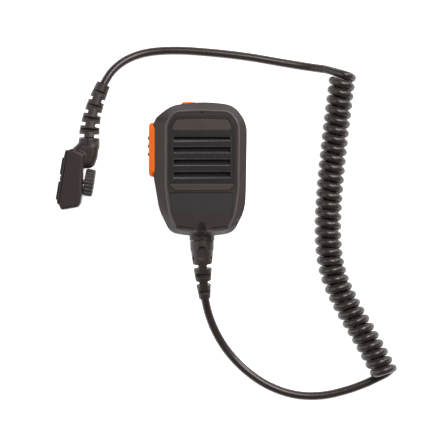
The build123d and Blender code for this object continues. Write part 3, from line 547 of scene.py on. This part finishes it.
class MICROPHONE_OT_cord(bpy.types.Operator):
    """Adds the curly cord between the microphone and its plug."""

    bl_idname = "microphone.cord"
    bl_label = "Cord"

    def execute(self, context):
        sizes = context.scene.microphone_cord
        places = finer(MIC_LEAD) + curl_points(sizes)[::-1] + finer(PLUG_LEAD[::-1])
        curve = smooth_curve("curly_cord_jacket", places, steps=4)
        curve.bevel_depth = FLAT_SIDES * sizes.diameter / 2
        curve.bevel_resolution = 6
        curve.use_fill_caps = True
        curve.materials.append(finish_named("jacket"))
        piece = bpy.data.objects.new("curly_cord_jacket", curve)
        context.scene.collection.objects.link(piece)
        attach(piece, "microphone")
        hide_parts("cord_mic_end", "curly_cord", "cord_plug_end")
        ends = [bpy.data.objects[name] for name in
                ("microphone_boot", "plug_boot_ribbed", "plug_shell", "plug_seal_pair", "thumb_knob_knurled")]
        ends += [frame["nodes"][name] for name in
                 ("plug_plate", "plug_contacts", "plug_board", "thumb_screw", "retaining_ring")]
        return {"FINISHED"}


# ---------------------------------------------------------------- pieces
GRILLE_BAND_Y = -15.9 * MM  # where the grille's smooth bottom band begins
ETCHED_TOP_Y = -21.5 * MM  # the deeply etched field of the front face lies between these two
ETCHED_BOTTOM_Y = -35.4 * MM
ETCHED_DEPTH = 0.9 * MM  # of the field below the grille's face, near enough to find it
ETCHED_SPREAD = 0.35 * MM
BAR_EDGE = 10 * MM  # only the edges of the bars are longer than this
ON_CREST = 0.02 * MM  # how near the front's highest level an edge of the lip lies


def along(edge):
    """How far the edge reaches from side to side."""
    return abs(edge.verts[0].co.x - edge.verts[1].co.x)


class MICROPHONE_OT_case(bpy.types.Operator):
    """Adds the front and rear shells with their seal and screws."""

    bl_idname = "microphone.case"
    bl_label = "Case"

    def execute(self, context):
        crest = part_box("front_housing")[1].z
        # The lip's crest is rounded broadly and painted pale: a painted highlight, with some wear.
        front = eased("front_housing", "front_shell", "housing", 0.25, rubbed_and_highlit=False, broad=[
            (lambda edge, middle, turn: abs(middle.z - crest) < ON_CREST and turn > 20, 0.36, 3),
        ])
        front.data.materials.append(finish_named("etched"))
        self.etch_field(front)
        eased("rear_housing", "rear_shell", "housing", 0.3)
        paint_node("case_seal", "rubber")
        eased("case_screws", "case_screw_set", "steel", 0.12)
        return {"FINISHED"}

    def etch_field(self, front):
        """The field under the grille was etched deeper in the mould."""
        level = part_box("grille_panel")[1].z - ETCHED_DEPTH
        for face in front.data.polygons:
            flat = abs(face.center.z - level) < ETCHED_SPREAD and face.normal.z > 0.9
            if flat and ETCHED_BOTTOM_Y < face.center.y < ETCHED_TOP_Y:
                face.material_index = 1


class MICROPHONE_OT_grille(bpy.types.Operator):
    """Adds the slotted grille and the blank badge plate."""

    bl_idname = "microphone.grille"
    bl_label = "Grille and badge"

    def execute(self, context):
        # The bars' chamfered edges are rounded and painted pale: a painted highlight along each bar, with
        # some wear.
        bars = eased("grille_panel", "grille_bars", "grille", 0.12, broad=[
            (lambda edge, middle, turn: 40 < turn < 50 and along(edge) > BAR_EDGE, 0.3, 3),
        ])
        self.smooth_band(bars)
        eased("badge_plate", "badge_blank", "badge", 0.06)
        return {"FINISHED"}

    def smooth_band(self, piece):
        """The band under the bars is moulded satin, like the badge."""
        work = bmesh.new()
        work.from_mesh(piece.data)
        bmesh.ops.bisect_plane(work, geom=work.verts[:] + work.edges[:] + work.faces[:], dist=0.001 * MM,
                               plane_co=(0, GRILLE_BAND_Y, 0), plane_no=(0, 1, 0))
        piece.data.materials.append(finish_named("badge"))
        for face in work.faces:
            if face.calc_center_median().y < GRILLE_BAND_Y:
                face.material_index = 1
        work.to_mesh(piece.data)
        work.free()
        level_normals(piece.data)


class MICROPHONE_OT_keys(bpy.types.Operator):
    """Adds the talk key with its grips, and the emergency key."""

    bl_idname = "microphone.keys"
    bl_label = "Keys"

    def execute(self, context):
        eased("talk_key", "talk_key_skin", "orange", 0.6)
        eased("talk_key_grips", "talk_key_ribs", "rubber", 0.12)
        eased("emergency_key", "emergency_button", "orange", 0.4)
        return {"FINISHED"}


class MICROPHONE_OT_jack_cover(bpy.types.Operator):
    """Adds the rubber flap over the earphone jack."""

    bl_idname = "microphone.jack_cover"
    bl_label = "Jack cover"

    def execute(self, context):
        eased("jack_cover", "jack_flap", "rubber", 0.2)
        return {"FINISHED"}


class MICROPHONE_OT_clip(bpy.types.Operator):
    """Adds the belt clip."""

    bl_idname = "microphone.clip"
    bl_label = "Belt clip"

    def execute(self, context):
        eased("clip_base", "clip_base_plate", "nylon", 0.25)
        eased("clip_jaw", "clip_jaw_plate", "nylon", 0.3)
        return {"FINISHED"}


class MICROPHONE_OT_boots(bpy.types.Operator):
    """Adds the ribbed boots at both ends of the cord."""

    bl_idname = "microphone.boots"
    bl_label = "Cord boots"

    def execute(self, context):
        cast("mic_boot", "microphone_boot", "rubber", 0.28, 3)
        cast("plug_boot", "plug_boot_ribbed", "rubber", 0.28, 3)
        return {"FINISHED"}


class MICROPHONE_OT_plug(bpy.types.Operator):
    """Adds the side plug with its seals and its thumb knob."""

    bl_idname = "microphone.plug"
    bl_label = "Plug"

    def execute(self, context):
        cast("plug_housing", "plug_shell", "housing", 0.4, 10)
        eased("plug_seals", "plug_seal_pair", "rubber", 0.15)
        eased("thumb_knob", "thumb_knob_knurled", "knurl", 0.2)
        paint_node("plug_plate", "nylon")
        return {"FINISHED"}


class MICROPHONE_OT_inner_parts(bpy.types.Operator):
    """Gives every part inside the case and the plug its own finish."""

    bl_idname = "microphone.inner_parts"
    bl_label = "Inner parts"

    def execute(self, context):
        for material, nodes in INNER_PARTS.items():
            for node in nodes:
                paint_node(node, material)
        return {"FINISHED"}


INNER_PARTS = {
    "cloth": ["speaker_cloth"],
    "paper": ["speaker_cone", "swivel_washer"],
    "foam": ["speaker_gasket", "emergency_spring"],
    "ferrite": ["speaker_magnet"],
    "rubber": ["capsule_boot", "talk_key_seal"],
    "steel": ["speaker_frame", "microphone_capsule", "board_screws", "clip_screw", "clip_pin", "clip_spring",
              "thumb_screw", "retaining_ring"],
    "board": ["circuit_board", "plug_board"],
    "epoxy": ["board_chips"],
    "nylon": ["talk_switch", "emergency_switch", "jack_socket", "wire_connector", "cord_clamp",
              "talk_actuator"],
    "jacket": ["cord_tail", "cord_wires"],
    "brass": ["clip_insert"],
    "gold": ["plug_contacts"],
}


# ---------------------------------------------------------------- stage
LAMP_TINT = (1.0, 0.94, 0.92)  # a shade warmer than daylight
LIT_SPOT = Vector((0, -30 * MM, 20 * MM))  # where the lights aim
VIEW_MIDDLE = (8.58 * MM, -36.3 * MM)  # what the camera stands over


class MICROPHONE_OT_stage(bpy.types.Operator):
    """Adds the pale floor, the soft lights and the camera."""

    bl_idname = "microphone.stage"
    bl_label = "Stage"

    def execute(self, context):
        sizes = context.scene.microphone_studio
        self.add_floor(context)
        self.add_light(context, "key_light", (0.6, 0.7, 1.5), 1.0, sizes.key_light)
        self.add_light(context, "fill_light", (-1.5, 0.0, 0.9), 1.8, sizes.key_light * 0.5)
        self.add_light(context, "edge_light", (1.2, 0.9, 0.55), 0.3, sizes.key_light * 0.25)
        world = bpy.data.worlds.new("studio_air")
        world.use_nodes = True
        sky = world.node_tree.nodes["Background"]
        sky.inputs["Color"].default_value = (*LAMP_TINT, 1)
        sky.inputs["Strength"].default_value = sizes.sky
        context.scene.world = world
        context.scene.view_settings.view_transform = "Standard"
        self.add_camera(context, sizes)
        return {"FINISHED"}

    def add_floor(self, context):
        """A sheet far wider than the view."""
        mesh = bpy.data.meshes.new("studio_floor")
        work = bmesh.new()
        bmesh.ops.create_grid(work, x_segments=1, y_segments=1, size=3.0)
        work.to_mesh(mesh)
        work.free()
        mesh.materials.append(paint_sheet())
        floor = bpy.data.objects.new("studio_floor", mesh)
        context.scene.collection.objects.link(floor)

    def add_light(self, context, name, place, size, power):
        """A soft square light of that size and power, aimed at the microphone."""
        data = bpy.data.lights.new(name, "AREA")
        data.shape = "SQUARE"
        data.size = size
        data.energy = power
        data.color = LAMP_TINT
        light = bpy.data.objects.new(name, data)
        light.location = place
        light.rotation_euler = (LIT_SPOT - Vector(place)).to_track_quat("-Z", "Y").to_euler()
        context.scene.collection.objects.link(light)

    def add_camera(self, context, sizes):
        """A camera that looks straight down, far enough up to flatten the view."""
        data = bpy.data.cameras.new("top_camera")
        data.sensor_width = 36.0
        focus_height = 15 * MM
        data.lens = data.sensor_width * (sizes.camera_height - focus_height) / sizes.view_width
        data.clip_start = 0.05
        camera = bpy.data.objects.new("top_camera", data)
        camera.location = (*VIEW_MIDDLE, sizes.camera_height)
        context.scene.collection.objects.link(camera)
        context.scene.camera = camera


STEPS = [
    MICROPHONE_OT_stage,
    MICROPHONE_OT_case,
    MICROPHONE_OT_grille,
    MICROPHONE_OT_keys,
    MICROPHONE_OT_jack_cover,
    MICROPHONE_OT_clip,
    MICROPHONE_OT_boots,
    MICROPHONE_OT_plug,
    MICROPHONE_OT_cord,
    MICROPHONE_OT_inner_parts,
]


class MICROPHONE_PT_parts(bpy.types.Panel):
    """Lists the sizes, the colours and every step in its order."""

    bl_label = "Hand microphone"
    bl_space_type = "VIEW_3D"
    bl_region_type = "UI"
    bl_category = "Microphone"

    def draw(self, context):
        for group in (context.scene.microphone_cord, context.scene.microphone_studio,
                      context.scene.microphone_colours):
            for name in group.__annotations__:
                self.layout.prop(group, name)
        for step in STEPS:
            self.layout.operator(step.bl_idname)


CLASSES = [CordSizes, StudioSizes, FinishColours, *STEPS, MICROPHONE_PT_parts]


def register():
    """Makes the classes known and gives the scene its three groups of sizes and colours."""
    for item in CLASSES:
        bpy.utils.register_class(item)
    bpy.types.Scene.microphone_cord = PointerProperty(type=CordSizes)
    bpy.types.Scene.microphone_studio = PointerProperty(type=StudioSizes)
    bpy.types.Scene.microphone_colours = PointerProperty(type=FinishColours)


def unregister():
    """Takes back what register did."""
    del bpy.types.Scene.microphone_colours
    del bpy.types.Scene.microphone_studio
    del bpy.types.Scene.microphone_cord
    for item in reversed(CLASSES):
        bpy.utils.unregister_class(item)


def main():
    """Builds everything, one step after the other."""
    register()
    bpy.ops.microphone.stage()
    bpy.ops.microphone.case()
    bpy.ops.microphone.grille()
    bpy.ops.microphone.keys()
    bpy.ops.microphone.jack_cover()
    bpy.ops.microphone.clip()
    bpy.ops.microphone.boots()
    bpy.ops.microphone.plug()
    bpy.ops.microphone.cord()
    bpy.ops.microphone.inner_parts()


if __name__ == "__main__":
    main()
